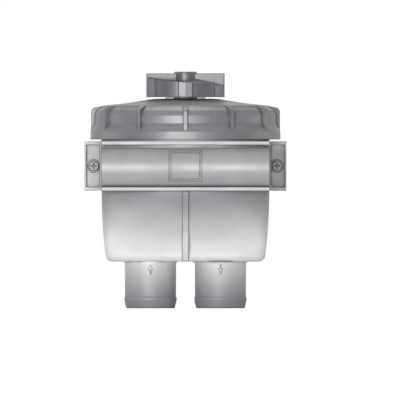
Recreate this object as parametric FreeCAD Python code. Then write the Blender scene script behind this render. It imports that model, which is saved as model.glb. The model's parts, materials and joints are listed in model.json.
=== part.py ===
import FreeCAD, Part
import math
import os

V = FreeCAD.Vector

# A sea water strainer: a moulded housing with two hose nozzles underneath, a domed lid with a
# screw knob, a lift-out basket, and a two-part wall bracket round the neck. Millimetres, +Z up,
# the front faces -Y, and the origin is on the neck's axis at the nozzles' open ends.

# How far fused pieces run into each other, and the height of a quarter circle over its chord
overlap = 1.0
quarter_sag = 1 - math.sqrt(0.5)

# Hose nozzles
nozzle_spacing = 52.0
nozzle_r = 19.0
nozzle_bore_r = 16.0
nozzle_length = 34.7
nozzle_tip_r = 18.3
nozzle_tip_round = 1.0
nozzle_root_round = 2.0
barb_r = 19.5
barb_z = 6.2
barb_land = 1.6
barb_back = 0.8

# Hopper between the nozzles and the round neck
wall = 3.6
floor_thickness = 3.5
hopper_half_width = 59.5
hopper_half_depth = 20.5
hopper_corner_height = 5.4
hopper_corner_width = 5.0
hopper_corner_depth = 2.4
hopper_height = 46.9
hopper_squareness = 5.0
section_points = 40
corner_shares = (0.0, 0.3, 0.6, 0.85, 1.0)
hopper_sections = 6
partition = 3.5
neck_step = 0.2

# Front and rear fins over the partition
fin_thickness = 4.5
fin_stand_off = 2.2
fin_kink_height = 21.7
fin_foot = 0.5
fin_chamfer_height = 3.8
fin_chamfer_depth = 1.4
fin_sections = 10

# Deck over the inlet chamber, and the boss of the tie rod
deck_drop = 8.5
deck_thickness = 3.5
deck_hole_r = 16.4
boss_r = 9.0
boss_height = 20.0
boss_tip_r = 1.0
insert_r = 6.5
insert_height = 14.0

# Neck and rim
neck_r = 62.6
neck_height = 59.3
rim_proud = 1.4
rim_wall = 6.5
rim_height = 8.0
rim_slope = 2.5
lid_seal_inset = 3.3
lid_seal_section_r = 1.4
lid_seal_proud = 0.4
lid_seal_side_gap = 0.2

# Lid
lid_gap = 0.3
lid_wall_gap = 0.6
lid_wall = 3.0
lid_skirt_reach = 3.0
lid_skirt_height = 6.0
lid_side_height = 21.5
lid_plate = 3.6
lid_crown = 5.9
lid_flare_heights = (2.1, 3.7, 5.9)
lid_flare_reaches = (2.0, 0.9, 0.0)
lid_shoulder_height = 17.9
lid_shoulder_inset = 1.2
lid_edge_inset = 5.6
lid_edge_drop = 1.0
lid_edge_chamfer = 0.8
lid_under_inset = 1.0
lid_rib_count = 12
lid_rib_width = 3.2
lid_rib_depth = 2.6
lid_rib_round = 3.5
lid_rib_drop = 1.2
lid_rib_sink = 0.3
pocket_inner_r = 32.0
pocket_outer_r = 56.0
pocket_depth = 1.0
pocket_round = 3.5
spoke_width = 8.0
lid_boss_r = 18.0
lid_boss_foot_r = 26.0
lid_boss_under_r = 13.5
lid_boss_depth = 8.0
lid_boss_drop = 0.6

# Knob
knob_gap = 0.2
knob_washer_r = 15.0
knob_washer_thickness = 0.7
knob_r = 29.15
knob_lobe_r = 30.7
knob_lobe_angle = 19.5
knob_lobes = 6
knob_height = 17.7
knob_round = 1.2
knob_hub_r = 8.6
knob_hub_height = 19.0
knob_bar_half = 5.2
knob_ramp_drop = 12.2
knob_ramp_start = 0.3
knob_ramp_inner_r = 2.0
knob_ramp_margin = 6.14
knob_ramp_points = 16
knob_lobe_flare = 0.6
knob_lobe_sink = 1.5
knob_core_r = 25.5
knob_core_inner_r = 16.0
knob_core_depth = 2.0
shank_r = 8.8
shank_length = 11.0
shank_gap = 0.3
shank_seal_section_r = 0.75
shank_seal_depth = 6.0
knob_insert_r = 7.0
knob_insert_height = 10.0
knob_insert_lift = 1.0

# Tie rod
rod_r = 5.0
rod_clearance = 0.3
rod_foot = 2.0
rod_tip_gap = 1.0
rod_roof = 5.0
rod_chamfer = 0.8
insert_clearance = 0.05

# Basket
basket_gap = 0.3
basket_r = 49.3
basket_base = 2.5
basket_ring_gap = 0.4
basket_ring_height = 4.0
basket_ring_drop = 2.3
basket_lip = 4.0
basket_lip_wall = 1.8
basket_spars = 6
basket_spar_width = 5.0
basket_spar_depth = 3.0
basket_sleeve_r = 8.4
basket_sleeve_bore_r = 6.2
basket_spoke_drop = 6.0
basket_spoke_height = 4.0
basket_spoke_width = 4.0
collar_wall = 2.4
collar_length = 6.5
basket_seal_section_r = 0.8
basket_seal_gap = 0.3
basket_groove_gap = 0.1
basket_groove_depth_gap = 0.05
collar_gap = 0.8
mesh_thickness = 0.8
mesh_gap = 0.1
mesh_edge = 0.6
mesh_seam = 0.6
mesh_columns = 3
mesh_rows = 6
mesh_bar = 2.4
mesh_post = 4.2

# Wall bracket
ear_reach = 12.4
bracket_gap = 0.3
bracket_bottom = 0.4
bracket_height = 36.8
bracket_flange = 2.6
saddle_wall = 3.0
bracket_stand = 4.6
wall_stand = 7.1
wall_plate = 5.0
wall_rib = 3.0
wall_rib_root = 20.0
ear_front = 20.0
ear_recess = 4.0
ear_side_wall = 1.2
ear_split = 4.0
split_gap = 0.8
rear_ear = 9.0
cover_rise = 2.5
cover_edge_rise = 1.6
cover_thickness = 2.6
cover_side_reach = 0.3
cover_peg_root = 1.0
cover_bottom_gap = 0.3
cover_top_gap = 2.4
badge_width = 24.6
badge_height = 22.6
badge_frame = 1.6
badge_depth = 0.5
cover_peg_r = 2.4
cover_peg_spacing = 64.0
cover_peg_gap = 0.2
wall_hole_r = 3.2
wall_hole_spacing_x = 84.0
wall_hole_spacing_z = 17.0
driver_hole_r = 5.5

# Clamp screws
screw_reach = 5.5
screw_r = 2.0
screw_hole_gap = 0.2
screw_head_r = 3.8
screw_head_height = 2.6
screw_head_round = 0.9
screw_recess_span = 4.4
screw_recess_width = 1.1
screw_recess_depth = 1.6
counterbore_r = 4.9
counterbore_depth = 0.8
screw_seat_gap = 0.05
screw_neck = 0.1
washer_r = 4.0
spot_gap = 0.3
spot_depth = 8.0
washer_thickness = 0.8
nut_flats = 7.0
nut_height = 3.2
screw_end = 1.2

# Heights worked out from the sizes above
floor_z = nozzle_length
corner_top_z = floor_z + hopper_corner_height
neck_z = corner_top_z + hopper_height
hopper_top_r = neck_r - neck_step
rim_r = neck_r + rim_proud
rim_bore_r = rim_r - rim_wall
lid_seal_r = rim_r - lid_seal_inset
deck_top_z = neck_z - deck_drop
deck_z = deck_top_z - deck_thickness
rim_z = neck_z + neck_height
lid_under_z = rim_z + lid_seal_proud + lid_gap
lid_r = rim_r + lid_wall_gap + lid_wall
lid_skirt_r = lid_r + lid_skirt_reach
lid_shoulder_r = lid_r - lid_shoulder_inset
lid_edge_r = lid_r - lid_edge_inset
lid_z = lid_under_z - lid_side_height
lid_rib_r = lid_r + lid_rib_depth
lid_edge_z = lid_under_z + lid_plate
lid_crown_z = lid_edge_z + lid_crown
boss_z = lid_crown_z - lid_boss_drop
washer_z = boss_z + knob_gap
knob_z = washer_z + knob_washer_thickness + knob_gap
knob_top_z = knob_z + knob_height
hub_top_z = knob_z + knob_hub_height
bore_r = shank_r + shank_gap
inlet_x = -nozzle_spacing / 2
knob_insert_z = knob_z + knob_insert_lift
base_z = deck_top_z + basket_gap
ring_z = rim_z - basket_ring_drop
bracket_z = neck_z + bracket_bottom
bracket_top_z = bracket_z + bracket_height
saddle_r = neck_r + bracket_gap
screw_z = (bracket_z + bracket_top_z) / 2
screw_x = neck_r + screw_reach
ear_web_y = -ear_front + ear_recess
rear_split_y = -ear_split + split_gap
rear_ear_y = rear_split_y + rear_ear
saddle_out_r = saddle_r + saddle_wall
bracket_side = neck_r + ear_reach
bracket_front = saddle_out_r + bracket_stand
wall_plate_y = saddle_out_r + wall_stand
cover_half_width = neck_r
cover_front = bracket_front + cover_rise
cover_edge = saddle_out_r + cover_edge_rise
screw_seat_y = ear_web_y + counterbore_depth
cover_z = bracket_z + bracket_flange + cover_bottom_gap
cover_top_z = bracket_top_z - bracket_flange - cover_top_gap
mesh_r = basket_r + mesh_gap
basket_base_r = mesh_r + mesh_thickness + mesh_edge
basket_inner_r = basket_r - basket_spar_depth
basket_ring_r = rim_bore_r - basket_ring_gap
collar_r = deck_hole_r - collar_gap


def box(x0, x1, y0, y1, z0, z1):
    """A block between two corners."""
    return Part.makeBox(x1 - x0, y1 - y0, z1 - z0, V(x0, y0, z0))


def cylinder(r, z0, z1, x=0.0, y=0.0):
    """An upright cylinder."""
    return Part.makeCylinder(r, z1 - z0, V(x, y, z0))


def tube(r_out, r_in, z0, z1, x=0.0, y=0.0):
    """An upright tube."""
    return cylinder(r_out, z0, z1, x, y).cut(cylinder(r_in, z0, z1, x, y))


def turned(steps, x=0.0, y=0.0):
    """A full turn of an (r, z) outline. A step of three values (r, z, sag) is an arc that
    ends there and bulges by sag to the left of its chord."""
    edges = []
    ends = steps[1:] + [steps[0][:2]]
    start = steps[0][:2]
    for step in ends:
        a = V(start[0], 0, start[1])
        b = V(step[0], 0, step[1])
        if len(step) == 3:
            along = (b - a).normalize()
            side = V(-along.z, 0, along.x)
            edges.append(Part.Arc(a, (a + b) * 0.5 + side * step[2], b).toShape())
        else:
            edges.append(Part.makeLine(a, b))
        start = step[:2]
    face = Part.Face(Part.Wire(edges))
    solid = face.revolve(V(0, 0, 0), V(0, 0, 1), 360)
    solid.translate(V(x, y, 0))
    return solid


def ring(r, section_r, z, x=0.0, y=0.0):
    """A round seal lying flat."""
    return Part.makeTorus(r, section_r, V(x, y, z))


def plate(points, z0, z1):
    """An outline of (x, y) points raised from z0 to z1."""
    wire = Part.makePolygon([V(x, y, z0) for x, y in points + points[:1]])
    return Part.Face(wire).extrude(V(0, 0, z1 - z0))


def side_profile(points, half_width):
    """An outline of (y, z) points, drawn in the middle plane and given a width in X."""
    wire = Part.makePolygon([V(-half_width, y, z) for y, z in points + points[:1]])
    return Part.Face(wire).extrude(V(2 * half_width, 0, 0))


def turned_copies(shape, count):
    """Copies of a shape, evenly spaced about the vertical axis."""
    copies = []
    for k in range(count):
        copy = shape.copy()
        copy.rotate(V(0, 0, 0), V(0, 0, 1), 360.0 * k / count)
        copies.append(copy)
    return copies


def save(node, shape):
    """Writes a sub-part's STEP file."""
    shape.exportStep(f"parts/{node}.step")


# Hopper sections
def hopper_depth(s):
    """Half the hopper's depth, s running from 0 at its foot to 1 at the neck."""
    return hopper_half_depth + (hopper_top_r - hopper_half_depth) * s * s * (3 - 2 * s)


def hopper_slope(s):
    """How fast the half depth grows with height."""
    return (hopper_top_r - hopper_half_depth) * 6 * s * (1 - s) / hopper_height


def hopper_section(z, inset):
    """A closed superellipse at height z. It is a circle at the neck and a rounded oblong at
    the foot, and the foot's corner rounds under it. The inset makes the inner wall."""
    s = max(0.0, (z - corner_top_z) / hopper_height)
    half_width = hopper_half_width + (hopper_top_r - hopper_half_width) * (1 - (1 - s) ** 2)
    half_depth = hopper_depth(s)
    drop = max(0.0, min(1.0, (corner_top_z - z) / hopper_corner_height))
    tuck = 1 - math.sqrt(1 - drop * drop)
    half_width -= inset + hopper_corner_width * tuck
    half_depth -= inset * math.sqrt(1 + hopper_slope(s) ** 2) + hopper_corner_depth * tuck
    power = 2.0 / (2.0 + hopper_squareness * (1 - s) ** 2)
    points = []
    for k in range(section_points):
        turn = 2 * math.pi * k / section_points
        c, d = math.cos(turn), math.sin(turn)
        x = half_width * math.copysign(abs(c) ** power, c)
        y = half_depth * math.copysign(abs(d) ** power, d)
        points.append(V(x, y, z))
    curve = Part.BSplineCurve()
    steps = [k / section_points for k in range(section_points + 1)]
    curve.interpolate(Points=points, PeriodicFlag=True, Parameters=steps)
    return Part.Wire(curve.toShape())


def hopper_solid(inset, lift):
    """The hopper's outside, or its inside where an inset and a raised floor are given."""
    low = [floor_z + lift + (hopper_corner_height - lift) * t for t in corner_shares]
    high = [corner_top_z + hopper_height * k / hopper_sections for k in range(hopper_sections + 1)]
    lower = Part.makeLoft([hopper_section(z, inset) for z in low], True)
    upper = Part.makeLoft([hopper_section(z, inset) for z in high], True)
    return lower.fuse(upper)


def fin_outline():
    """The fin's edge: a set distance off the hopper down to a kink, then straight to the
    foot."""
    points = []
    kink_z = floor_z + fin_kink_height
    front_y = -hopper_half_depth - fin_stand_off
    for k in range(fin_sections + 1):
        z = neck_z + (kink_z - neck_z) * k / fin_sections
        s = (z - corner_top_z) / hopper_height
        points.append((-hopper_depth(s) - fin_stand_off, z))
    points.append((front_y, floor_z + fin_chamfer_height))
    points.append((front_y + fin_chamfer_depth, floor_z + fin_foot))
    points.append((0.0, floor_z + fin_foot))
    points.append((0.0, neck_z))
    return points


def nozzle(x):
    """A hose nozzle with its barb and a rounded tip, up to the chamber's floor."""
    land_z = barb_z + barb_land
    return turned(
        [
            (0.0, 0.0),
            (nozzle_tip_r - nozzle_tip_round, 0.0),
            (nozzle_tip_r, nozzle_tip_round, -quarter_sag * nozzle_tip_round),
            (barb_r, barb_z),
            (barb_r, land_z),
            (nozzle_r, land_z + barb_back),
            (nozzle_r, floor_z + floor_thickness),
            (0.0, floor_z + floor_thickness),
        ],
        x,
    )


def nozzle_root(x):
    """The rounded inner corner where a nozzle meets the floor."""
    low_z = floor_z - nozzle_root_round
    return turned(
        [
            (nozzle_r - overlap, low_z),
            (nozzle_r, low_z),
            (nozzle_r + nozzle_root_round, floor_z, quarter_sag * nozzle_root_round),
            (nozzle_r + nozzle_root_round, floor_z + overlap),
            (nozzle_r - overlap, floor_z + overlap),
        ],
        x,
    )


def housing():
    """The moulded body: nozzles, hopper, fins, neck and rim outside, and the partition, the
    deck and the rod's boss inside."""
    nozzle_xs = (-nozzle_spacing / 2, nozzle_spacing / 2)
    under = Part.Face(hopper_section(floor_z, 0.0)).extrude(V(0, 0, -nozzle_length))
    front_fin = side_profile(fin_outline(), fin_thickness / 2)
    rear_fin = front_fin.copy()
    rear_fin.rotate(V(0, 0, 0), V(0, 0, 1), 180)
    roots = [nozzle_root(x).common(under) for x in nozzle_xs]
    rim_foot_z = rim_z - rim_height
    neck = turned(
        [
            (0.0, neck_z),
            (neck_r, neck_z),
            (neck_r, rim_foot_z - rim_slope),
            (rim_r, rim_foot_z),
            (rim_r, rim_z),
            (0.0, rim_z),
        ]
    )
    outside = [hopper_solid(0.0, 0.0), neck, front_fin, rear_fin]
    outside += [nozzle(x) for x in nozzle_xs] + roots
    body = outside[0].fuse(outside[1:])

    chamber = hopper_solid(wall, floor_thickness)
    deck = chamber.common(box(-neck_r, partition / 2, -neck_r, neck_r, deck_z, deck_top_z))
    deck = deck.cut(cylinder(deck_hole_r, deck_z, deck_top_z, inlet_x))
    wall_slab = box(-partition / 2, partition / 2, -neck_r, neck_r, floor_z, deck_top_z)
    inner_wall = chamber.common(wall_slab)
    boss = cylinder(boss_r, deck_top_z - boss_height, deck_top_z)
    boss_tip = Part.makeCone(boss_tip_r, boss_r, boss_r, V(0, 0, deck_top_z - boss_height - boss_r))
    inside = deck.fuse([inner_wall, boss, boss_tip])
    inside = inside.cut(cylinder(insert_r + insert_clearance, deck_top_z - insert_height, deck_top_z))

    neck_bore = turned(
        [
            (0.0, neck_z),
            (neck_r - wall, neck_z),
            (neck_r - wall, rim_foot_z - rim_slope),
            (rim_bore_r, rim_foot_z),
            (rim_bore_r, rim_z),
            (0.0, rim_z),
        ]
    )
    body = body.cut([chamber.fuse(neck_bore)])
    body = body.fuse([inside])
    for x in nozzle_xs:
        body = body.cut(cylinder(nozzle_bore_r, 0.0, floor_z + floor_thickness, x))
    groove_depth = 2 * lid_seal_section_r - lid_seal_proud
    groove_half = lid_seal_section_r + lid_seal_side_gap
    groove = tube(lid_seal_r + groove_half, lid_seal_r - groove_half, rim_z - groove_depth, rim_z)
    return body.cut(groove)


# Lid
def dome_z(r):
    """The lid's top at a radius: a shallow crown that falls to its edge."""
    return lid_crown_z - lid_crown * (r / lid_edge_r) ** 2


def lid_sag(r0, r1):
    """How far the crown bulges above the chord between two radii."""
    return lid_crown * ((r1 - r0) / 2 / lid_edge_r) ** 2


def lid_rib():
    """One rib: up the lid's side, round its shoulder and in to the crown's edge. Its root runs
    inside the lid's wall and plate, so that nothing stays open under it."""
    foot_z = lid_z + lid_skirt_height
    top_z = dome_z(lid_edge_r)
    outer_z = top_z - lid_rib_round - lid_rib_drop
    bend_r = lid_rib_r - quarter_sag * lid_rib_round
    bend_z = outer_z + (1 - quarter_sag) * lid_rib_round
    arc_end = V(lid_rib_r - lid_rib_round, 0, outer_z + lid_rib_round)
    root_r = lid_shoulder_r - overlap
    crown_r = lid_edge_r - overlap
    root_z = lid_under_z + lid_rib_sink
    wire = Part.Wire(
        [
            Part.makeLine(V(root_r, 0, foot_z), V(lid_rib_r, 0, foot_z)),
            Part.makeLine(V(lid_rib_r, 0, foot_z), V(lid_rib_r, 0, outer_z)),
            Part.Arc(V(lid_rib_r, 0, outer_z), V(bend_r, 0, bend_z), arc_end).toShape(),
            Part.makeLine(arc_end, V(crown_r, 0, top_z)),
            Part.makeLine(V(crown_r, 0, top_z), V(crown_r, 0, root_z)),
            Part.makeLine(V(crown_r, 0, root_z), V(root_r, 0, root_z)),
            Part.makeLine(V(root_r, 0, root_z), V(root_r, 0, foot_z)),
        ]
    )
    rib = Part.Face(wire).extrude(V(0, lid_rib_width, 0))
    rib.translate(V(0, -lid_rib_width / 2, 0))
    return rib


def lid_pockets():
    """Cutter for the shallow pockets in the crown, between its spokes."""
    top_z = lid_crown_z + overlap
    inner_z = dome_z(pocket_inner_r) - pocket_depth
    outer_z = dome_z(pocket_outer_r) - pocket_depth
    sag = lid_sag(pocket_inner_r, pocket_outer_r)
    cutter = turned(
        [
            (pocket_inner_r, top_z),
            (pocket_inner_r, inner_z),
            (pocket_outer_r, outer_z, sag),
            (pocket_outer_r, top_z),
        ]
    )
    reach = pocket_outer_r + overlap
    half = spoke_width / 2
    spokes = [
        box(-reach, reach, -half, half, lid_z, top_z),
        box(-half, half, -reach, reach, lid_z, top_z),
    ]
    cutter = cutter.cut(spokes)
    upright = []
    for edge in cutter.Edges:
        a, b = edge.Vertexes[0].Point, edge.Vertexes[-1].Point
        if math.hypot(a.x - b.x, a.y - b.y) < 1e-6 and abs(a.z - b.z) > pocket_depth / 2:
            upright.append(edge)
    return cutter.makeFillet(pocket_round, upright)


def lid():
    """The domed lid, with its skirt, side ribs, pocketed crown and a bored boss."""
    skirt_top_z = lid_z + lid_skirt_height
    flare = [(lid_r + r, skirt_top_z + h) for r, h in zip(lid_flare_reaches, lid_flare_heights)]
    crown_r = lid_edge_r - lid_edge_chamfer
    under_r = rim_bore_r - lid_under_inset
    under_z = dome_z(under_r) - lid_plate
    boss_under_z = dome_z(lid_boss_under_r) - lid_plate
    outline = [
        (bore_r, boss_z),
        (bore_r, boss_z - lid_boss_depth),
        (lid_boss_under_r, boss_z - lid_boss_depth),
        (lid_boss_under_r, boss_under_z),
        (under_r, under_z, lid_sag(lid_boss_under_r, under_r)),
        (under_r, lid_under_z),
        (lid_r - lid_wall, lid_under_z),
        (lid_r - lid_wall, lid_z),
        (lid_skirt_r, lid_z),
        (lid_skirt_r, skirt_top_z),
    ]
    outline += flare
    outline += [
        (lid_r, lid_z + lid_shoulder_height),
        (lid_shoulder_r, lid_under_z),
        (lid_edge_r, dome_z(lid_edge_r) - lid_edge_drop),
        (crown_r, dome_z(crown_r)),
        (lid_boss_foot_r, dome_z(lid_boss_foot_r), lid_sag(lid_boss_foot_r, crown_r)),
        (lid_boss_r, boss_z),
    ]
    shell = turned(outline)
    ribs = turned_copies(lid_rib(), lid_rib_count)
    return shell.fuse(ribs).cut(lid_pockets())


# Knob
def ramp_face():
    """The spiral top of one half of the knob, falling steadily from its left to its right as
    seen from the front."""
    start_z = knob_top_z - knob_ramp_start
    shares = [k / knob_ramp_points for k in range(knob_ramp_points + 1)]
    curves = []
    for r in (knob_ramp_inner_r, knob_lobe_r + knob_ramp_margin):
        points = []
        for share in shares:
            turn = math.pi * (1 + share)
            points.append(V(r * math.cos(turn), r * math.sin(turn), start_z - knob_ramp_drop * share))
        curve = Part.BSplineCurve()
        curve.interpolate(Points=points, Parameters=shares)
        curves.append(curve.toShape())
    return Part.makeRuledSurface(curves[0], curves[1])


def knob_ramp_cutter():
    """What is taken off the front half of the wheel, above its spiral ramp."""
    above = ramp_face().extrude(V(0, 0, knob_height))
    reach = knob_lobe_r + overlap
    front = box(-reach, reach, -reach, -knob_bar_half, knob_z, knob_top_z + overlap)
    return above.common(front).cut(cylinder(knob_hub_r, knob_z, knob_top_z + overlap))


def knob_lobe():
    """One raised grip on the wheel's rim, at the front."""
    half = math.radians(knob_lobe_angle / 2)
    root_x = knob_r * math.sin(half) + knob_lobe_flare
    root_y = -knob_r * math.cos(half) + knob_lobe_sink
    outline = [
        (-root_x, root_y),
        (-knob_lobe_r * math.sin(half), -knob_lobe_r * math.cos(half)),
        (0.0, -knob_lobe_r),
        (knob_lobe_r * math.sin(half), -knob_lobe_r * math.cos(half)),
        (root_x, root_y),
    ]
    return plate(outline, knob_z, knob_top_z)


def knob():
    """The hand knob: a lobed wheel with two spiral ramps and a grip bar on top, a hub, and a
    shank that goes down through the lid."""
    wheel = cylinder(knob_r, knob_z, knob_top_z)
    wheel = wheel.fuse(turned_copies(knob_lobe(), knob_lobes)).removeSplitter()
    cutter = knob_ramp_cutter()
    wheel = wheel.cut(turned_copies(cutter, 2))
    hub = turned(
        [
            (0.0, knob_z),
            (knob_hub_r, knob_z),
            (knob_hub_r, hub_top_z - knob_round),
            (knob_hub_r - knob_round, hub_top_z, -quarter_sag * knob_round),
            (0.0, hub_top_z),
        ]
    )
    shank = cylinder(shank_r, knob_z - shank_length, knob_z)
    body = wheel.fuse([hub, shank])
    core = tube(knob_core_r, knob_core_inner_r, knob_z, knob_z + knob_core_depth)
    seal_z = knob_z - shank_seal_depth
    half = shank_seal_section_r + shank_gap
    groove_r = shank_r - 2 * shank_seal_section_r - shank_gap
    groove = tube(shank_r + overlap, groove_r, seal_z - half, seal_z + half)
    rod_bore = cylinder(rod_r + rod_clearance, knob_z - shank_length, hub_top_z - rod_roof)
    seat = cylinder(knob_insert_r + insert_clearance, knob_insert_z, knob_insert_z + knob_insert_height)
    return body.cut([core, groove, rod_bore, seat])


def knob_insert():
    """The brass thread insert in the knob."""
    low_z = knob_insert_z + insert_clearance
    high_z = knob_insert_z + knob_insert_height - insert_clearance
    return tube(knob_insert_r, rod_r + rod_clearance, low_z, high_z)


def knob_washer():
    """The thrust washer between the knob and the lid's boss."""
    return tube(knob_washer_r, bore_r, washer_z, washer_z + knob_washer_thickness)


def knob_seal():
    """The round seal in the shank's groove."""
    r = bore_r - shank_gap - shank_seal_section_r
    return ring(r, shank_seal_section_r, knob_z - shank_seal_depth)


# Tie rod
def rod_insert():
    """The brass insert moulded into the housing's boss."""
    return tube(insert_r, rod_r + insert_clearance, deck_top_z - insert_height, deck_top_z)


def tie_rod():
    """The stainless rod that the knob screws onto."""
    low_z = deck_top_z - insert_height + rod_foot
    high_z = hub_top_z - rod_roof - rod_tip_gap
    tip_r = rod_r - rod_chamfer
    return turned(
        [
            (0.0, low_z),
            (tip_r, low_z),
            (rod_r, low_z + rod_chamfer),
            (rod_r, high_z - rod_chamfer),
            (tip_r, high_z),
            (0.0, high_z),
        ]
    )


# Basket
def basket_frame():
    """The moulded frame: a base with its inlet collar, spars, a top ring and a sleeve round
    the tie rod, which is also the grip to lift it by."""
    base_top_z = base_z + basket_base
    ring_low_z = ring_z - basket_ring_height
    lip_in_r = basket_r - basket_lip_wall
    base = cylinder(basket_base_r, base_z, base_top_z)
    collar = cylinder(collar_r, base_z - collar_length, base_z, inlet_x)
    lower_lip = tube(basket_r, lip_in_r, base_top_z, base_top_z + basket_lip)
    upper_lip = tube(basket_r, lip_in_r, ring_low_z - basket_lip, ring_low_z)
    top_ring = tube(basket_ring_r, basket_inner_r, ring_low_z, ring_z)
    half = basket_spar_width / 2
    spar = box(basket_inner_r, basket_r + overlap, -half, half, base_top_z, ring_low_z)
    spar = spar.common(cylinder(basket_r, base_top_z, ring_low_z))
    sleeve = cylinder(basket_sleeve_r, base_z, ring_z - basket_spoke_drop)
    spoke_top_z = ring_z - basket_spoke_drop
    half = basket_spoke_width / 2
    spoke_z = spoke_top_z - basket_spoke_height
    spoke = box(0.0, basket_inner_r + overlap, -half, half, spoke_z, spoke_top_z)
    parts = [collar, lower_lip, upper_lip, top_ring, sleeve]
    parts += turned_copies(spar, basket_spars)
    parts += turned_copies(spoke, basket_spars // 2)
    frame = base.fuse(parts).removeSplitter()
    bore = cylinder(basket_sleeve_bore_r, base_z, ring_z)
    inlet = cylinder(collar_r - collar_wall, base_z - collar_length, base_top_z, inlet_x)
    seal_z = base_z - collar_length / 2
    half = basket_seal_section_r + basket_groove_gap
    groove_r = deck_hole_r - basket_seal_gap - 2 * basket_seal_section_r - basket_groove_depth_gap
    groove = tube(collar_r + overlap, groove_r, seal_z - half, seal_z + half, inlet_x)
    return frame.cut([bore, inlet, groove])


def basket_mesh():
    """The perforated panels that do the straining, one between each spar and the next."""
    low_z = base_z + basket_base + mesh_gap
    high_z = ring_z - basket_ring_height - mesh_gap
    far_r = mesh_r + mesh_thickness
    seam = math.degrees(mesh_seam / mesh_r)
    span = 360.0 / basket_spars
    corners = [V(mesh_r, 0, low_z), V(far_r, 0, low_z), V(far_r, 0, high_z), V(mesh_r, 0, high_z)]
    wire = Part.makePolygon(corners + corners[:1])
    panel = Part.Face(wire).revolve(V(0, 0, 0), V(0, 0, 1), span - seam)
    panel.rotate(V(0, 0, 0), V(0, 0, 1), seam / 2)
    height = (high_z - low_z - mesh_bar) / mesh_rows
    half = math.radians(span - seam) * mesh_r / mesh_columns / 2 - mesh_post / 2
    slots = []
    for column in range(mesh_columns):
        turn = seam / 2 + (span - seam) * (column + 0.5) / mesh_columns
        for row in range(mesh_rows):
            z = low_z + mesh_bar + row * height
            slot = box(mesh_r - overlap, far_r + overlap, -half, half, z, z + height - mesh_bar)
            slot.rotate(V(0, 0, 0), V(0, 0, 1), turn)
            slots.append(slot)
    return Part.makeCompound(turned_copies(panel.cut(slots), basket_spars))


def basket_seal():
    """The round seal between the inlet collar and the deck."""
    r = deck_hole_r - basket_seal_gap - basket_seal_section_r
    return ring(r, basket_seal_section_r, base_z - collar_length / 2, inlet_x)


def lid_seal():
    """The round seal in the rim's groove."""
    z = rim_z + lid_seal_proud - lid_seal_section_r
    return ring(lid_seal_r, lid_seal_section_r, z)


# Wall bracket
def both_sides(shape):
    """A shape and its mirror image across the middle plane."""
    return [shape, shape.mirror(V(0, 0, 0), V(1, 0, 0))]


def across(r, y0, y1, x, z):
    """A cylinder that runs front to back."""
    return Part.makeCylinder(r, y1 - y0, V(x, y0, z), V(0, 1, 0))


def flanges(plan):
    """The bracket half's top and bottom flanges."""
    return [
        plate(plan, bracket_z, bracket_z + bracket_flange),
        plate(plan, bracket_top_z - bracket_flange, bracket_top_z),
    ]


def front_clamp():
    """The bracket's front half: two flanges, the saddle round the neck, and an ear with a
    countersunk screw place on each side."""
    side = bracket_side
    inner = cover_half_width
    plan = [
        (-side, -ear_split),
        (-side, -ear_front),
        (-inner, -ear_front),
        (-inner, -bracket_front),
        (inner, -bracket_front),
        (inner, -ear_front),
        (side, -ear_front),
        (side, -ear_split),
    ]
    saddle = cylinder(saddle_out_r, bracket_z, bracket_top_z)
    saddle = saddle.common(box(-side, side, -side, -ear_split, bracket_z, bracket_top_z))
    web = box(inner, side, ear_web_y, -ear_split, bracket_z, bracket_top_z)
    outer_wall = box(side - ear_side_wall, side, -ear_front, ear_web_y, bracket_z, bracket_top_z)
    inner_wall = box(inner, inner + ear_side_wall, -ear_front, ear_web_y, bracket_z, bracket_top_z)
    ears = both_sides(web.fuse([outer_wall, inner_wall]))
    body = saddle.fuse(flanges(plan) + ears).removeSplitter()
    cuts = [cylinder(saddle_r, bracket_z, bracket_top_z)]
    cuts += both_sides(across(screw_r + screw_hole_gap, -ear_front, 0.0, screw_x, screw_z))
    cuts += both_sides(across(counterbore_r, ear_web_y, screw_seat_y, screw_x, screw_z))
    peg_x = cover_peg_spacing / 2
    cuts += both_sides(across(cover_peg_r + cover_peg_gap, -cover_front, -ear_front, peg_x, screw_z))
    return body.cut(cuts)


def cover_block(inset):
    """The convex strip as a solid, with its front set back by the inset."""
    mid_z = (cover_z + cover_top_z) / 2
    low = V(0, -cover_edge + inset, cover_z)
    crest = V(0, -cover_front + inset, mid_z)
    high = V(0, -cover_edge + inset, cover_top_z)
    back = -ear_front - cover_side_reach
    wire = Part.Wire(
        [
            Part.Arc(low, crest, high).toShape(),
            Part.makeLine(high, V(0, back, cover_top_z)),
            Part.makeLine(V(0, back, cover_top_z), V(0, back, cover_z)),
            Part.makeLine(V(0, back, cover_z), low),
        ]
    )
    block = Part.Face(wire).extrude(V(2 * (cover_half_width - inset), 0, 0))
    block.translate(V(-(cover_half_width - inset), 0, 0))
    return block


def front_cover():
    """The convex strip across the front, with its two side walls, locating pegs behind it and
    a plain framed panel in the middle."""
    strip = cover_block(0.0).cut(cover_block(cover_thickness))
    far = cover_front + overlap
    strip = strip.cut(cylinder(saddle_out_r + bracket_gap, cover_z, cover_top_z))
    peg_end = -math.sqrt(saddle_r**2 - (cover_peg_spacing / 2 - cover_peg_r) ** 2) - cover_peg_gap
    peg_start = cover_peg_root - cover_front
    peg = across(cover_peg_r, peg_start, peg_end, cover_peg_spacing / 2, screw_z)
    strip = strip.fuse(both_sides(peg)).removeSplitter()
    half_w, half_h = badge_width / 2, badge_height / 2
    frame = box(-half_w, half_w, -far, 0.0, screw_z - half_h, screw_z + half_h)
    half_w, half_h = half_w - badge_frame, half_h - badge_frame
    frame = frame.cut(box(-half_w, half_w, -far, 0.0, screw_z - half_h, screw_z + half_h))
    return strip.cut(frame.cut(cover_block(badge_depth)))


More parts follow.
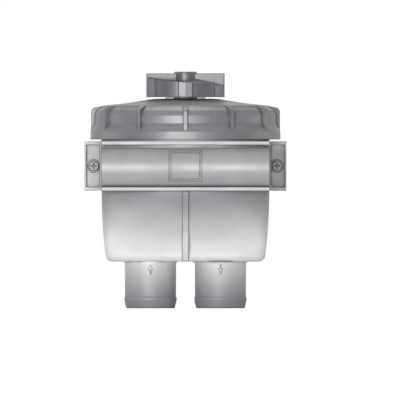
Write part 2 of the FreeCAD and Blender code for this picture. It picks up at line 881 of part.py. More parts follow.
def rear_clamp():
    """The bracket's rear half: saddle, flanges, ears, and the plate that screws to a wall."""
    side = bracket_side
    inner = cover_half_width
    plan = [
        (-side, rear_split_y),
        (side, rear_split_y),
        (side, rear_ear_y),
        (inner, rear_ear_y),
        (inner, wall_plate_y),
        (-inner, wall_plate_y),
        (-inner, rear_ear_y),
        (-side, rear_ear_y),
    ]
    saddle = cylinder(saddle_out_r, bracket_z, bracket_top_z)
    saddle = saddle.common(box(-side, side, rear_split_y, side, bracket_z, bracket_top_z))
    back = box(-inner, inner, wall_plate_y - wall_plate, wall_plate_y, bracket_z, bracket_top_z)
    ears = both_sides(box(inner, side, rear_split_y, rear_ear_y, bracket_z, bracket_top_z))
    half = wall_rib / 2
    ribs = [
        box(x - half, x + half, saddle_r - wall_rib_root, wall_plate_y, bracket_z, bracket_top_z)
        for x in (-wall_hole_spacing_x / 4, wall_hole_spacing_x / 4)
    ]
    body = saddle.fuse(flanges(plan) + ears + ribs + [back]).removeSplitter()
    cuts = [cylinder(saddle_r, bracket_z, bracket_top_z)]
    cuts += both_sides(across(screw_r + screw_hole_gap, rear_split_y, rear_ear_y, screw_x, screw_z))
    spot_r = washer_r + spot_gap
    cuts += both_sides(across(spot_r, rear_ear_y, rear_ear_y + spot_depth, screw_x, screw_z))
    for row in (-1, 1):
        x = wall_hole_spacing_x / 2
        z = screw_z + row * wall_hole_spacing_z / 2
        cuts += both_sides(across(wall_hole_r, 0.0, wall_plate_y, x, z))
        cuts += both_sides(across(driver_hole_r, 0.0, saddle_out_r, x, z))
    return body.cut(cuts)


def clamp_screw(side):
    """A cross-recess screw that draws the bracket's halves together."""
    x = side * screw_x
    seat = screw_seat_y - screw_seat_gap
    nut_y = rear_ear_y + washer_thickness + nut_height + 3 * screw_seat_gap
    head = across(screw_head_r, seat - screw_head_height, seat, x, screw_z)
    rim = [e for e in head.Edges if abs(e.CenterOfMass.y - seat + screw_head_height) < 0.01]
    head = head.makeFillet(screw_head_round, rim)
    shank = across(screw_r, seat - screw_neck, nut_y + screw_end, x, screw_z)
    span, width = screw_recess_span / 2, screw_recess_width / 2
    front = seat - screw_head_height
    depth = front + screw_recess_depth
    cross = [
        box(x - span, x + span, front, depth, screw_z - width, screw_z + width),
        box(x - width, x + width, front, depth, screw_z - span, screw_z + span),
    ]
    return head.fuse([shank]).cut(cross)


def clamp_washer(side):
    """The washer behind the rear ear."""
    x = side * screw_x
    y = rear_ear_y + screw_seat_gap
    outer = across(washer_r, y, y + washer_thickness, x, screw_z)
    return outer.cut(across(screw_r + screw_hole_gap, y, y + washer_thickness, x, screw_z))


def clamp_nut(side):
    """The hexagon nut behind the washer."""
    x = side * screw_x
    y = rear_ear_y + washer_thickness + 2 * screw_seat_gap
    corner = nut_flats / math.sqrt(3)
    turns = [math.radians(60 * k + 30) for k in range(7)]
    points = [V(x + corner * math.cos(t), y, screw_z + corner * math.sin(t)) for t in turns]
    nut = Part.Face(Part.makePolygon(points)).extrude(V(0, nut_height, 0))
    return nut.cut(across(screw_r + insert_clearance, y, y + nut_height, x, screw_z))


os.makedirs("parts", exist_ok=True)
save("housing", housing())
save("rod_insert", rod_insert())
save("tie_rod", tie_rod())
save("lid_seal", lid_seal())
save("basket_frame", basket_frame())
save("basket_mesh", basket_mesh())
save("basket_seal", basket_seal())
save("lid", lid())
save("knob", knob())
save("knob_insert", knob_insert())
save("knob_washer", knob_washer())
save("knob_seal", knob_seal())
save("front_clamp", front_clamp())
save("front_cover", front_cover())
save("rear_clamp", rear_clamp())
for name, side in (("left", -1), ("right", 1)):
    save(f"clamp_screw_{name}", clamp_screw(side))
    save(f"clamp_washer_{name}", clamp_washer(side))
    save(f"clamp_nut_{name}", clamp_nut(side))
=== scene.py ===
"""The looks of a sea water strainer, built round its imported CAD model.

All lengths are in metres, in the CAD model's frame: +Z up, +X right, the front faces -Y.
"""

from __future__ import annotations

import json
import logging
import math
from dataclasses import dataclass
from enum import Enum

import bmesh
import bpy
from mathutils import Matrix, Vector

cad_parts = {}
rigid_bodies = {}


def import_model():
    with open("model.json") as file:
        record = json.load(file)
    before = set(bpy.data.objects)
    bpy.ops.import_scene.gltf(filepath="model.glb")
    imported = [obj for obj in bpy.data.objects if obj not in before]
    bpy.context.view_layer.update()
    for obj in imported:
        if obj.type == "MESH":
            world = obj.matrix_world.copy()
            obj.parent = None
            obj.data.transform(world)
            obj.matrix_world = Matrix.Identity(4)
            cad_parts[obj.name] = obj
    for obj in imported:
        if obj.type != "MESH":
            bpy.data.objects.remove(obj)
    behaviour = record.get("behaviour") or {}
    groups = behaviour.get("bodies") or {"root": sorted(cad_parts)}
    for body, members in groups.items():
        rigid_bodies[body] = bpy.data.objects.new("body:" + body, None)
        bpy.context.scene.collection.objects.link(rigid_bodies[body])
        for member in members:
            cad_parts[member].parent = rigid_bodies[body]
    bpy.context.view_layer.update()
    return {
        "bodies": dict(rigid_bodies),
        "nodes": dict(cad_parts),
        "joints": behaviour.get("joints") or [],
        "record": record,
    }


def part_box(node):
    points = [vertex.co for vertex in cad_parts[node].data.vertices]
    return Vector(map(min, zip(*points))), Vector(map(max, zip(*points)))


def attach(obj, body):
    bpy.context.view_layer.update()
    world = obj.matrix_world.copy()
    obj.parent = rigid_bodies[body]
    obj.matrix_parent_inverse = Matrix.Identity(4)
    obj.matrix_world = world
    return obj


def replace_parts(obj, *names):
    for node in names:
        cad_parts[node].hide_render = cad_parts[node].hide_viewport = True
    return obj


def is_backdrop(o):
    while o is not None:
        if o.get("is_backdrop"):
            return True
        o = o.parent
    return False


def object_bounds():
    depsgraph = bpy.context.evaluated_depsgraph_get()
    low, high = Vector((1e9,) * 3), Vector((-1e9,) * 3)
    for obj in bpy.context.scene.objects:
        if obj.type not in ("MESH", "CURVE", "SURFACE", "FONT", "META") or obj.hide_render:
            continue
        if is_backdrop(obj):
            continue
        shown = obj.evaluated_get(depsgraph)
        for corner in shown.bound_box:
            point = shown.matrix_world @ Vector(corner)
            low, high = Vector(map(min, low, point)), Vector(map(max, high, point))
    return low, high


LOG = logging.getLogger("strainer")
MM = 0.001
Colour = tuple[float, float, float, float]
WHITE: Colour = (1.0, 1.0, 1.0, 1.0)

# Faces that meet at more than this keep a crisp edge between them.
SHARP_ANGLE = math.radians(35)
# The Mix node's colour sockets, which share their names with its other kinds.
MIX_FACTOR, MIX_LOW, MIX_HIGH, MIX_COLOUR = 0, 6, 7, 2
# How alike the true and the rounded normal are where an edge begins, and where it is full.
EDGE_TURN = (0.998, 0.95)
# How open a spot is where the shade painted into a corner begins, and where it is full.
CORNER_OPENNESS = (0.78, 0.2)
# The part of the noise that the slow drift between two shades is drawn from.
DRIFT_SPREAD = (0.3, 0.7)
# How bright the painted shade along edges and creases and in corners is, as a share of the finish's darker
# shade.
PAINTED_SHADE_SHARE = 0.12
EFFECT_SAMPLES = 6


class Flow(Enum):
    """Which way water goes through a hose nozzle, as its arrow is named."""

    IN = "in"
    OUT = "out"


def grey(level: float, cool: float = 0.012) -> Colour:
    """A neutral grey with a slightly cool cast.

    Args:
        level: linear brightness from 0 to 1.
        cool: how much the blue stands above the red.

    Returns:
        The colour with full alpha.
    """
    return (level, level, level + cool, 1.0)


def whole(shape: bmesh.types.BMesh) -> list:
    """Every vertex, edge and face of a mesh, as its operators take them."""
    return shape.verts[:] + shape.edges[:] + shape.faces[:]


def verts_in(made: dict) -> list[bmesh.types.BMVert]:
    """The vertices among what an operator has made."""
    return [part for part in made["geom"] if isinstance(part, bmesh.types.BMVert)]


def mesh_of(name: str, shape: bmesh.types.BMesh) -> bpy.types.Mesh:
    """Turns a finished bmesh into a mesh.

    Args:
        name: the new mesh's name.
        shape: the bmesh, which is freed.

    Returns:
        The new mesh.
    """
    mesh = bpy.data.meshes.new(name)
    shape.to_mesh(mesh)
    shape.free()
    return mesh


def placed(name: str, data: bpy.types.ID) -> bpy.types.Object:
    """Puts a mesh, a lamp or a camera in the scene.

    Args:
        name: the new object's name.
        data: what the object shows.

    Returns:
        The new object.
    """
    made = bpy.data.objects.new(name, data)
    bpy.context.scene.collection.objects.link(made)
    return made


class NodeSheet:
    """Adds and wires the nodes of one shader node tree."""

    def __init__(self, tree: bpy.types.NodeTree) -> None:
        """Keeps the tree that the nodes go into."""
        self.tree = tree

    def add(self, kind: str, values: dict[str, object] | None = None, **settings: object) -> bpy.types.Node:
        """Adds a node.

        Args:
            kind: the node's type name.
            values: default values of its input sockets, by socket name.
            settings: properties of the node itself.

        Returns:
            The new node.
        """
        node = self.tree.nodes.new(kind)
        for name, value in settings.items():
            setattr(node, name, value)
        for name, value in (values or {}).items():
            node.inputs[name].default_value = value
        return node

    def wire(self, source: bpy.types.NodeSocket, target: bpy.types.NodeSocket) -> None:
        """Links an output to an input."""
        self.tree.links.new(source, target)

    def maths(
        self, operation: str, first: bpy.types.NodeSocket, second: object = 0.0
    ) -> bpy.types.NodeSocket:
        """Adds a Math node.

        Args:
            operation: the node's operation.
            first: the socket that feeds its first input.
            second: a socket or a number for its second input.

        Returns:
            The node's output socket.
        """
        node = self.add("ShaderNodeMath", operation=operation)
        self.wire(first, node.inputs[0])
        if isinstance(second, bpy.types.NodeSocket):
            self.wire(second, node.inputs[1])
        else:
            node.inputs[1].default_value = second
        return node.outputs[0]

    def mix(self, factor: bpy.types.NodeSocket, low: object, high: object) -> bpy.types.NodeSocket:
        """Adds a colour mix.

        Args:
            factor: the socket that drives the mix.
            low: a socket or a colour where the factor is 0.
            high: a socket or a colour where the factor is 1.

        Returns:
            The mixed colour's socket.
        """
        node = self.add("ShaderNodeMix", data_type="RGBA")
        self.wire(factor, node.inputs[MIX_FACTOR])
        for place, value in ((MIX_LOW, low), (MIX_HIGH, high)):
            if isinstance(value, bpy.types.NodeSocket):
                self.wire(value, node.inputs[place])
            else:
                node.inputs[place].default_value = value
        return node.outputs[MIX_COLOUR]

    def ramp(self, value: bpy.types.NodeSocket, low: float, high: float) -> bpy.types.NodeSocket:
        """Stretches a range of values to 0 to 1, clamped and smooth.

        Args:
            value: the socket to stretch.
            low: the value that becomes 0.
            high: the value that becomes 1.

        Returns:
            The stretched value's socket.
        """
        node = self.add(
            "ShaderNodeMapRange", {"From Min": low, "From Max": high}, interpolation_type="SMOOTHSTEP"
        )
        self.wire(value, node.inputs["Value"])
        return node.outputs["Result"]


class EffectGroup:
    """A shader node group that several finishes share."""

    def __init__(self, name: str, inputs: dict[str, tuple[str, object]], outputs: dict[str, str]) -> None:
        """Makes the group with its sockets.

        Args:
            name: the group's name.
            inputs: socket name to its type and default value.
            outputs: socket name to its type.
        """
        self.tree = bpy.data.node_groups.new(name, "ShaderNodeTree")
        for label, (kind, value) in inputs.items():
            socket = self.tree.interface.new_socket(label, in_out="INPUT", socket_type=kind)
            socket.default_value = value
        for label, kind in outputs.items():
            self.tree.interface.new_socket(label, in_out="OUTPUT", socket_type=kind)
        self.sheet = NodeSheet(self.tree)
        self.given = self.sheet.add("NodeGroupInput")
        self.result = self.sheet.add("NodeGroupOutput")

    def finish(self, label: str, socket: bpy.types.NodeSocket) -> None:
        """Wires a socket to one of the group's outputs."""
        self.sheet.wire(socket, self.result.inputs[label])


def edge_group() -> bpy.types.NodeTree:
    """Rounded edges, and masks for the shade painted along edges and creases and in corners.

    Returns:
        A group that puts out a softened normal, a mask of outer edges and a mask of corners.
    """
    group = EffectGroup(
        "Edges and corners",
        {
            "Edge Radius": ("NodeSocketFloat", 0.9 * MM),
            "Corner Reach": ("NodeSocketFloat", 4.0 * MM),
        },
        {"Normal": "NodeSocketVector", "Edge": "NodeSocketFloat", "Corner": "NodeSocketFloat"},
    )
    sheet = group.sheet
    bevel = sheet.add("ShaderNodeBevel", samples=EFFECT_SAMPLES)
    sheet.wire(group.given.outputs["Edge Radius"], bevel.inputs["Radius"])
    geometry = sheet.add("ShaderNodeNewGeometry")
    dot = sheet.add("ShaderNodeVectorMath", operation="DOT_PRODUCT")
    sheet.wire(bevel.outputs["Normal"], dot.inputs[0])
    sheet.wire(geometry.outputs["Normal"], dot.inputs[1])
    edge = sheet.ramp(dot.outputs["Value"], *EDGE_TURN)
    hollow = sheet.add("ShaderNodeAmbientOcclusion", samples=EFFECT_SAMPLES)
    sheet.wire(group.given.outputs["Corner Reach"], hollow.inputs["Distance"])
    corner = sheet.ramp(hollow.outputs["AO"], *CORNER_OPENNESS)
    group.finish("Normal", bevel.outputs["Normal"])
    group.finish("Edge", edge)
    group.finish("Corner", corner)
    return group.tree


def grain_group() -> bpy.types.NodeTree:
    """The grain and slow colour drift of a moulded or worked surface.

    Returns:
        A group that puts out a drift from 0 to 1 and a fine height.
    """
    group = EffectGroup(
        "Surface grain",
        {
            "Drift Scale": ("NodeSocketFloat", 40.0),
            "Grain Scale": ("NodeSocketFloat", 1800.0),
            "Stretch": ("NodeSocketVector", (1.0, 1.0, 1.0)),
        },
        {"Drift": "NodeSocketFloat", "Height": "NodeSocketFloat"},
    )
    sheet = group.sheet
    place = sheet.add("ShaderNodeTexCoord")
    stretched = sheet.add("ShaderNodeVectorMath", operation="MULTIPLY")
    sheet.wire(place.outputs["Object"], stretched.inputs[0])
    sheet.wire(group.given.outputs["Stretch"], stretched.inputs[1])
    drift = sheet.add("ShaderNodeTexNoise", {"Detail": 3.0, "Roughness": 0.55})
    grain = sheet.add("ShaderNodeTexNoise", {"Detail": 2.0, "Roughness": 0.6})
    for noise, scale in ((drift, "Drift Scale"), (grain, "Grain Scale")):
        sheet.wire(stretched.outputs["Vector"], noise.inputs["Vector"])
        sheet.wire(group.given.outputs[scale], noise.inputs["Scale"])
    group.finish("Drift", drift.outputs["Fac"])
    group.finish("Height", grain.outputs["Fac"])
    return group.tree


@dataclass(frozen=True)
class Finish:
    """One finish, as the values that its material is made with."""

    name: str
    colour: Colour
    shade: Colour
    roughness: float
    roughness_drift: float = 0.08
    drift_scale: float = 40.0
    grain_scale: float = 1800.0
    grain_depth: float = 0.02 * MM
    stretch: tuple[float, float, float] = (1.0, 1.0, 1.0)
    metallic: float = 0.0
    edge_radius: float = 0.9 * MM
    # Strength of the shade painted along edges and creases, and in corners.
    edge_painted_shade: float = 0.9
    corner_reach: float = 4.0 * MM
    corner_painted_shade: float = 0.65
    specular: float = 0.9

    def material(self, shared: dict[str, bpy.types.NodeTree]) -> bpy.types.Material:
        """Builds the material.

        Args:
            shared: the shared effect groups, by name.

        Returns:
            The new material.
        """
        made = bpy.data.materials.new(self.name)
        made.use_nodes = True
        sheet = NodeSheet(made.node_tree)
        shader = made.node_tree.nodes["Principled BSDF"]
        shader.inputs["Metallic"].default_value = self.metallic
        shader.inputs["Specular IOR Level"].default_value = self.specular
        grain = sheet.add("ShaderNodeGroup", node_tree=shared["grain"])
        grain.inputs["Drift Scale"].default_value = self.drift_scale
        grain.inputs["Grain Scale"].default_value = self.grain_scale
        grain.inputs["Stretch"].default_value = self.stretch
        edges = sheet.add("ShaderNodeGroup", node_tree=shared["edges"])
        edges.inputs["Edge Radius"].default_value = self.edge_radius
        edges.inputs["Corner Reach"].default_value = self.corner_reach
        drift = sheet.ramp(grain.outputs["Drift"], *DRIFT_SPREAD)
        colour = sheet.mix(drift, self.colour, self.shade)
        # Painted shade: the colour darkens along edges and creases, and in corners that ambient occlusion
        # finds.
        dark = tuple(PAINTED_SHADE_SHARE * value for value in self.shade[:3]) + (1.0,)
        edge = sheet.maths("MULTIPLY", edges.outputs["Edge"], self.edge_painted_shade)
        colour = sheet.mix(edge, colour, dark)
        corner = sheet.maths("MULTIPLY", edges.outputs["Corner"], self.corner_painted_shade)
        colour = sheet.mix(corner, self.tinted(sheet, colour), dark)
        sheet.wire(colour, shader.inputs["Base Color"])
        rough = sheet.maths("MULTIPLY", drift, self.roughness_drift)
        sheet.wire(sheet.maths("ADD", rough, self.roughness), shader.inputs["Roughness"])
        bump = sheet.add("ShaderNodeBump", {"Strength": 1.0, "Distance": self.grain_depth})
        sheet.wire(grain.outputs["Height"], bump.inputs["Height"])
        sheet.wire(edges.outputs["Normal"], bump.inputs["Normal"])
        sheet.wire(bump.outputs["Normal"], shader.inputs["Normal"])
        return made

    def tinted(self, sheet: NodeSheet, colour: bpy.types.NodeSocket) -> bpy.types.NodeSocket:
        """The colour with any painted shade that only some finishes have. Plain here."""
        return colour


@dataclass(frozen=True)
class PaintedShadeFinish(Finish):
    """A moulded finish with painted shade, darker towards the nozzles' ends and under the bracket."""

    # Heights, colour and strengths of the painted shade towards the nozzles' ends and under the bracket.
    dark_below: float = 1.0 * MM
    unshaded_above: float = 52.0 * MM
    painted_shade_tone: Colour = grey(0.12)
    end_shade_strength: float = 0.9
    bracket_shade_from: float = 46.0 * MM
    bracket_shade_full: float = 88.0 * MM
    bracket_shade_end: float = 98.0 * MM
    bracket_shade_strength: float = 0.86

    def tinted(self, sheet: NodeSheet, colour: bpy.types.NodeSocket) -> bpy.types.NodeSocket:
        """Paints shade into the colour, darker towards the nozzles' ends and under the bracket.

        Args:
            sheet: the material's nodes.
            colour: the colour so far.

        Returns:
            The darkened colour's socket.
        """
        place = sheet.add("ShaderNodeTexCoord")
        parts = sheet.add("ShaderNodeSeparateXYZ")
        sheet.wire(place.outputs["Object"], parts.inputs["Vector"])
        # Painted shade that darkens the nozzles towards their ends.
        low = sheet.ramp(parts.outputs["Z"], self.unshaded_above, self.dark_below)
        colour = sheet.mix(sheet.maths("MULTIPLY", low, self.end_shade_strength), colour, self.painted_shade_tone)
        # Painted shade under the bracket, darkest just below its foot.
        rising = sheet.ramp(parts.outputs["Z"], self.bracket_shade_from, self.bracket_shade_full)
        ending = sheet.ramp(parts.outputs["Z"], self.bracket_shade_end, self.bracket_shade_full)
        bracket_shade = sheet.maths("MULTIPLY", sheet.maths("MULTIPLY", rising, ending), self.bracket_shade_strength)
        return sheet.mix(bracket_shade, colour, self.painted_shade_tone)


FINISHES = {
    # The housing and its arrows carry painted shade towards the nozzles' ends and under the bracket.
    "housing_plastic": PaintedShadeFinish(
        "Housing moulding", grey(0.74), grey(0.68), 0.5, edge_radius=0.7 * MM
    ),
    # The arrows get a wider, full painted shade along their edges.
    "raised_arrow": PaintedShadeFinish(
        "Raised arrow", grey(0.74), grey(0.68), 0.5, edge_radius=1.2 * MM, edge_painted_shade=1.0
    ),
    "lid_plastic": Finish("Lid moulding", grey(0.15), grey(0.12), 0.4),
    "knob_plastic": Finish("Knob moulding", grey(0.09), grey(0.07), 0.37),
    "bracket_plastic": Finish("Bracket moulding", grey(0.45), grey(0.4), 0.5, edge_radius=0.6 * MM),
    "cover_plastic": Finish("Cover moulding", grey(0.29), grey(0.25), 0.35, edge_radius=0.7 * MM),
    "basket_plastic": Finish("Basket moulding", grey(0.09), grey(0.07), 0.5),
    "washer_plastic": Finish("Thrust washer", grey(0.75), grey(0.7), 0.35),
    "seal_rubber": Finish("Seal rubber", grey(0.03), grey(0.02), 0.6, edge_painted_shade=0.0),
    "brass": Finish(
        "Machined brass",
        (0.72, 0.52, 0.22, 1.0),
        (0.6, 0.42, 0.16, 1.0),
        0.3,
        metallic=1.0,
        stretch=(1.0, 1.0, 30.0),
    ),
    "stainless": Finish(
        "Bright stainless",
        grey(0.3),
        grey(0.25),
        0.6,
        metallic=1.0,
        grain_depth=0.006 * MM,
        edge_radius=0.25 * MM,
    ),
    "mesh_steel": Finish(
        "Perforated steel", grey(0.55), grey(0.48), 0.32, metallic=1.0, edge_radius=0.1 * MM
    ),
}


class Workshop:
    """Makes finished pieces and hangs them on the CAD model's bodies."""

    def __init__(self) -> None:
        """Builds the shared effect groups and every finish."""
        self.shared = {"edges": edge_group(), "grain": grain_group()}
        self.materials = {slot: finish.material(self.shared) for slot, finish in FINISHES.items()}

    def dress_frame(self, frame: dict) -> None:
        """Gives every CAD node the finish of its material slot.
        """
        for part in frame["record"]["subparts"]:
            node = frame["nodes"][part["node"]]
            for place in node.material_slots:
                place.material = self.materials[part["material_slot"]]
            LOG.info("dressed %s as %s", part["node"], part["material_slot"])

    def piece(
        self, name: str, shape: bmesh.types.BMesh, body: str, slot: str, finish: str = ""
    ) -> bpy.types.Object:
        """Turns a finished bmesh into an object that rides on a body.

        Args:
            name: the new object's name.
            shape: the mesh, in its place; it is freed.
            body: the CAD body that the piece moves with.
            slot: the record's material slot that it belongs to.
            finish: its own finish, where it isn't the slot's.

        Returns:
            The new object.
        """
        mesh = mesh_of(name, shape)
        made = placed(name, mesh)
        mesh.materials.append(self.materials[finish or slot])
        mesh.set_sharp_from_angle(angle=SHARP_ANGLE)
        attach(made, body)
        LOG.info("made %s with %d faces", name, len(mesh.polygons))
        return made


@dataclass
class FlowArrow:
    """A raised arrow on the front of a hose nozzle that shows which way water goes."""

    flow: Flow
    x: float
    middle_z: float
    radius: float = 19.0 * MM
    length: float = 7.4 * MM
    head: float = 4.5 * MM
    head_width: float = 3.9 * MM
    tail_width: float = 1.1 * MM
    height: float = 0.45 * MM
    root: float = 0.25 * MM
    grid_cells: int = 6

    def flat_shape(self) -> bmesh.types.BMesh:
        """Cuts the arrow out of a fine grid that lies in the XZ plane and points up.

        Returns:
            The arrow as one flat sheet round the origin.
        """
        shape = bmesh.new()
        bmesh.ops.create_grid(shape, x_segments=self.grid_cells, y_segments=self.grid_cells, size=0.5)
        bmesh.ops.scale(shape, verts=shape.verts[:], vec=(self.head_width, self.length, 1.0))
        bmesh.ops.rotate(shape, verts=shape.verts[:], matrix=Matrix.Rotation(math.pi / 2, 3, "X"))
        tip, neck = self.length / 2, self.length / 2 - self.head
        tail = self.tail_width / 2
        cuts = (((0, 0, neck), (0, 0, 1)), ((-tail, 0, 0), (1, 0, 0)), ((tail, 0, 0), (1, 0, 0)))
        for place, normal in cuts:
            bmesh.ops.bisect_plane(shape, geom=whole(shape), plane_co=place, plane_no=normal)
        beside = [f for f in shape.faces if self.is_beside_tail(f.calc_center_median(), neck, tail)]
        bmesh.ops.delete(shape, geom=beside, context="FACES")
        for side in (-1, 1):
            slant = (side * self.head, 0.0, self.head_width / 2)
            bmesh.ops.bisect_plane(
                shape, geom=whole(shape), plane_co=(0, 0, tip), plane_no=slant, clear_outer=True
            )
        return shape

    @staticmethod
    def is_beside_tail(place: Vector, neck: float, tail: float) -> bool:
        """Whether a point of the grid lies below the head and outside the tail."""
        return place.z < neck and abs(place.x) > tail

    def build(self, shop: Workshop) -> bpy.types.Object:
        """Raises the arrow from the nozzle's round wall.

        Args:
            shop: makes the finished piece.

        Returns:
            The arrow.
        """
        shape = self.flat_shape()
        if self.flow is Flow.OUT:
            bmesh.ops.rotate(shape, verts=shape.verts[:], matrix=Matrix.Rotation(math.pi, 3, "Y"))
        grown = bmesh.ops.extrude_face_region(shape, geom=shape.faces[:])
        bmesh.ops.translate(shape, verts=verts_in(grown), vec=(0.0, -(self.height + self.root), 0.0))
        for vert in shape.verts:
            vert.co = self.wrapped(vert.co)
        bmesh.ops.recalc_face_normals(shape, faces=shape.faces[:])
        name = f"flow_arrow_{self.flow.value}"
        return shop.piece(name, shape, "housing", "housing_plastic", "raised_arrow")

    def wrapped(self, place: Vector) -> Vector:
        """Bends a point of the flat arrow round the nozzle.

        Args:
            place: the point, with its height over the nozzle's wall along -Y.

        Returns:
            Where it lies on the nozzle.
        """
        turn = place.x / self.radius
        r = self.radius - self.root - place.y
        return Vector((self.x + r * math.sin(turn), -r * math.cos(turn), self.middle_z + place.z))


@dataclass
class ThreadedRod:
    """The stainless tie rod with its rolled thread, in place of the plain CAD rod.

    The thread's profile is given as shares of its depth and of its pitch.
    """

    node: str = "tie_rod"
    pitch: float = 1.5 * MM
    depth: float = 0.85 * MM
    profile: tuple[tuple[float, float], ...] = (
        (0.0, 0.0), (0.0, 0.12), (1.0, 0.44), (1.0, 0.56), (0.0, 0.88), (0.0, 1.0)
    )
    run_in: int = 2
    steps: int = 40
    weld: float = 0.004 * MM

    def build(self, shop: Workshop) -> bpy.types.Object:
        """Winds the thread over the CAD rod's length and closes its ends.

        Args:
            shop: makes the finished piece.

        Returns:
            The rod.
        """
        low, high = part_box(self.node)
        inner = (high.x - low.x) / 2 - self.depth
        start = low.z - self.run_in * self.pitch
        turns = math.ceil((high.z - start) / self.pitch) + 1
        shape = bmesh.new()
        verts = [
            shape.verts.new((inner + out * self.depth, 0.0, start + up * self.pitch))
            for out, up in self.profile
        ]
        edges = [shape.edges.new(pair) for pair in zip(verts, verts[1:])]
        bmesh.ops.spin(
            shape,
            geom=verts + edges,
            cent=(0.0, 0.0, 0.0),
            axis=(0.0, 0.0, 1.0),
            dvec=(0.0, 0.0, self.pitch / self.steps),
            angle=2 * math.pi * turns,
            steps=self.steps * turns,
        )
        bmesh.ops.remove_doubles(shape, verts=shape.verts[:], dist=self.weld)
        for z, normal in ((low.z, (0, 0, -1)), (high.z, (0, 0, 1))):
            cut = bmesh.ops.bisect_plane(
                shape, geom=whole(shape), plane_co=(0, 0, z), plane_no=normal, clear_outer=True
            )
            rim = [e for e in cut["geom_cut"] if isinstance(e, bmesh.types.BMEdge)]
            bmesh.ops.contextual_create(shape, geom=rim)
        bmesh.ops.recalc_face_normals(shape, faces=shape.faces[:])
        rod = shop.piece("threaded_tie_rod", shape, "housing", "stainless")
        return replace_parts(rod, self.node)


@dataclass
class StrainingScreen:
    """The basket's perforated panels with their real, fine holes, in place of the coarse ones.

    The bar round a hole is a share of the holes' spacing.
    """

    node: str = "basket_mesh"
    panels: int = 6
    columns: int = 16
    rows: int = 20
    bar: float = 0.28
    seam: float = 0.6 * MM
    thickness: float = 0.6 * MM

    def panel(self, radius: float, low_z: float, high_z: float) -> bmesh.types.BMesh:
        """Perforates one curved panel.

        Args:
            radius: the panel's outer radius.
            low_z: the height of its foot.
            high_z: the height of its top.

        Returns:
            The panel, with the middle of its seam on the XZ plane.
        """
        shape = bmesh.new()
        step = (high_z - low_z) / self.rows
        verts = [shape.verts.new((radius, 0.0, low_z + k * step)) for k in range(self.rows + 1)]
        edges = [shape.edges.new(pair) for pair in zip(verts, verts[1:])]
        seam = self.seam / radius
        bmesh.ops.rotate(shape, verts=verts, matrix=Matrix.Rotation(seam / 2, 3, "Z"))
        bmesh.ops.spin(
            shape,
            geom=verts + edges,
            cent=(0.0, 0.0, 0.0),
            axis=(0.0, 0.0, 1.0),
            angle=2 * math.pi / self.panels - seam,
            steps=self.columns,
        )
        # Each cell is inset, and what stays in its middle is the hole.
        cells = shape.faces[:]
        bmesh.ops.inset_individual(shape, faces=cells, thickness=self.bar * step, use_even_offset=True)
        bmesh.ops.delete(shape, geom=cells, context="FACES")
        bmesh.ops.recalc_face_normals(shape, faces=shape.faces[:])
        first = shape.faces[:][0]
        if first.normal.dot(first.calc_center_median() * Vector((1, 1, 0))) < 0:
            bmesh.ops.reverse_faces(shape, faces=shape.faces[:])
        bmesh.ops.solidify(shape, geom=shape.faces[:], thickness=self.thickness)
        bmesh.ops.recalc_face_normals(shape, faces=shape.faces[:])
        return shape

    def build(self, shop: Workshop) -> bpy.types.Object:
        """Sets the panels round the basket, as wide and high as the CAD ones.

        Args:
            shop: makes the finished piece.

        Returns:
            The panels as one object.
        """
        low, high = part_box(self.node)
        shape = self.panel((high.x - low.x) / 2, low.z, high.z)
        one = whole(shape)
        for k in range(1, self.panels):
            copy = bmesh.ops.duplicate(shape, geom=one)
            turn = Matrix.Rotation(2 * math.pi * k / self.panels, 3, "Z")
            bmesh.ops.rotate(shape, verts=verts_in(copy), matrix=turn)
        screen = shop.piece("straining_screen", shape, "basket", "mesh_steel")
        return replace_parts(screen, self.node)


@dataclass(frozen=True)
class Lamp:
    """A soft rectangular lamp that faces the object."""

    name: str
    place: tuple[float, float, float]
    size: tuple[float, float]
    watts: float

    def build(self, aim: Vector) -> None:
        """Hangs the lamp.

        Args:
            aim: the point that it faces.
        """
        data = bpy.data.lights.new(self.name, "AREA")
        data.shape = "RECTANGLE"
        data.size, data.size_y = self.size
        data.energy = self.watts
        made = placed(self.name, data)
        made.location = self.place
        made.rotation_euler = (aim - Vector(self.place)).to_track_quat("-Z", "Y").to_euler()


LAMPS = (
    Lamp("key", (-0.27, -1.03, 0.13), (0.14, 0.14), 5.8),
    Lamp("front", (0.10, -1.06, 0.10), (0.14, 0.14), 2.4),
    Lamp("top", (-0.05, 0.05, 1.00), (0.45, 0.45), 4.4),
    Lamp("back", (0.0, 1.12, 0.08), (0.14, 0.10), 5.0),
    Lamp("left side", (-1.12, 0.22, 0.24), (0.45, 0.45), 1.2),
    Lamp("right side", (1.12, 0.22, 0.24), (0.45, 0.45), 1.2),
)


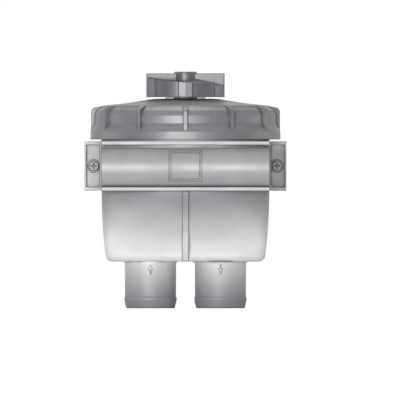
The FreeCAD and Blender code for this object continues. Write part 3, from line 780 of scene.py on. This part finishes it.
@dataclass
class Studio:
    """The camera at the drawing's straight front view, soft lamps, and a pale floor."""

    distance: float = 1.5
    view_x: float = 0.0108
    view_z: float = 0.0805
    view_width: float = 0.2975
    view_depth: float = 10.0
    aim_z: float = 0.09
    floor_radius: float = 1.0
    floor_sides: int = 96
    floor_gap: float = 0.02 * MM
    floor_roughness: float = 0.8
    floor_colour: Colour = (0.85, 0.85, 0.86, 1.0)
    floor_glow: float = 0.32
    ambient: float = 0.14

    def camera(self) -> None:
        """Sets up the flat front camera."""
        data = bpy.data.cameras.new("front view")
        data.type = "ORTHO"
        data.ortho_scale = self.view_width
        data.clip_end = self.view_depth
        made = placed("front view", data)
        made.location = (self.view_x, -self.distance, self.view_z)
        made.rotation_euler = (math.pi / 2, 0.0, 0.0)
        bpy.context.scene.camera = made

    def lamps(self) -> None:
        """Lights the object mostly from the front and the left, and its other sides more weakly."""
        for lamp in LAMPS:
            lamp.build(Vector((0.0, 0.0, self.aim_z)))

    def shown(self, sheet: NodeSheet) -> bpy.types.NodeSocket:
        """Picks the rays that show the background: the camera's, and those off or through the object.

        Args:
            sheet: the nodes of the material or world.

        Returns:
            A socket that is 1 for such rays and 0 for those that light the object.
        """
        path = sheet.add("ShaderNodeLightPath")
        seen = sheet.maths("MAXIMUM", path.outputs["Is Camera Ray"], path.outputs["Is Transmission Ray"])
        return sheet.maths("MAXIMUM", seen, path.outputs["Is Glossy Ray"])

    def world(self) -> None:
        """A white background over a dimmer, even light from all round."""
        made = bpy.data.worlds.new("studio")
        made.use_nodes = True
        sheet = NodeSheet(made.node_tree)
        made.node_tree.nodes.clear()
        dim = sheet.add("ShaderNodeBackground", {"Color": WHITE, "Strength": self.ambient})
        white = sheet.add("ShaderNodeBackground", {"Color": WHITE, "Strength": 1.0})
        mix = sheet.add("ShaderNodeMixShader")
        sheet.wire(self.shown(sheet), mix.inputs["Fac"])
        sheet.wire(dim.outputs["Background"], mix.inputs[1])
        sheet.wire(white.outputs["Background"], mix.inputs[2])
        out = sheet.add("ShaderNodeOutputWorld")
        sheet.wire(mix.outputs["Shader"], out.inputs["Surface"])
        bpy.context.scene.world = made

    def floor(self) -> None:
        """Lays a pale floor under the nozzles, which keeps the object's shadow."""
        shape = bmesh.new()
        bmesh.ops.create_circle(shape, cap_ends=True, segments=self.floor_sides, radius=self.floor_radius)
        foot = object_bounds()[0][2] - self.floor_gap
        bmesh.ops.translate(shape, verts=shape.verts[:], vec=(0.0, 0.0, foot))
        mesh = mesh_of("floor", shape)
        made = placed("floor", mesh)
        finish = bpy.data.materials.new("pale floor")
        finish.use_nodes = True
        shader = finish.node_tree.nodes["Principled BSDF"]
        shader.inputs["Base Color"].default_value = self.floor_colour
        shader.inputs["Roughness"].default_value = self.floor_roughness
        sheet = NodeSheet(finish.node_tree)
        glow = sheet.add("ShaderNodeEmission", {"Color": WHITE})
        sheet.wire(sheet.maths("MULTIPLY", self.shown(sheet), self.floor_glow), glow.inputs["Strength"])
        both = sheet.add("ShaderNodeAddShader")
        sheet.wire(shader.outputs["BSDF"], both.inputs[0])
        sheet.wire(glow.outputs["Emission"], both.inputs[1])
        sheet.wire(both.outputs["Shader"], finish.node_tree.nodes["Material Output"].inputs["Surface"])
        mesh.materials.append(finish)
        made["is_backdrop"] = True

    def build(self) -> None:
        """Sets up the whole studio."""
        bpy.context.scene.view_settings.view_transform = "Standard"
        self.camera()
        self.lamps()
        self.world()
        self.floor()


@dataclass
class NozzleMarks:
    """The flow arrows on both nozzles."""

    spacing: float = 52.0 * MM
    middle_z: float = 28.9 * MM

    def build(self, shop: Workshop) -> None:
        """Puts an arrow on each nozzle, up on the inlet and down on the outlet.

        Args:
            shop: makes the finished pieces.
        """
        for flow, side in ((Flow.IN, -1), (Flow.OUT, 1)):
            FlowArrow(flow, side * self.spacing / 2, self.middle_z).build(shop)


def main() -> None:
    """Builds the strainer's looks in order."""
    logging.basicConfig(level=logging.INFO, format="%(name)s: %(message)s")
    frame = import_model()
    Studio().build()
    shop = Workshop()
    shop.dress_frame(frame)
    NozzleMarks().build(shop)
    ThreadedRod().build(shop)
    StrainingScreen().build(shop)


if __name__ == "__main__":
    main()
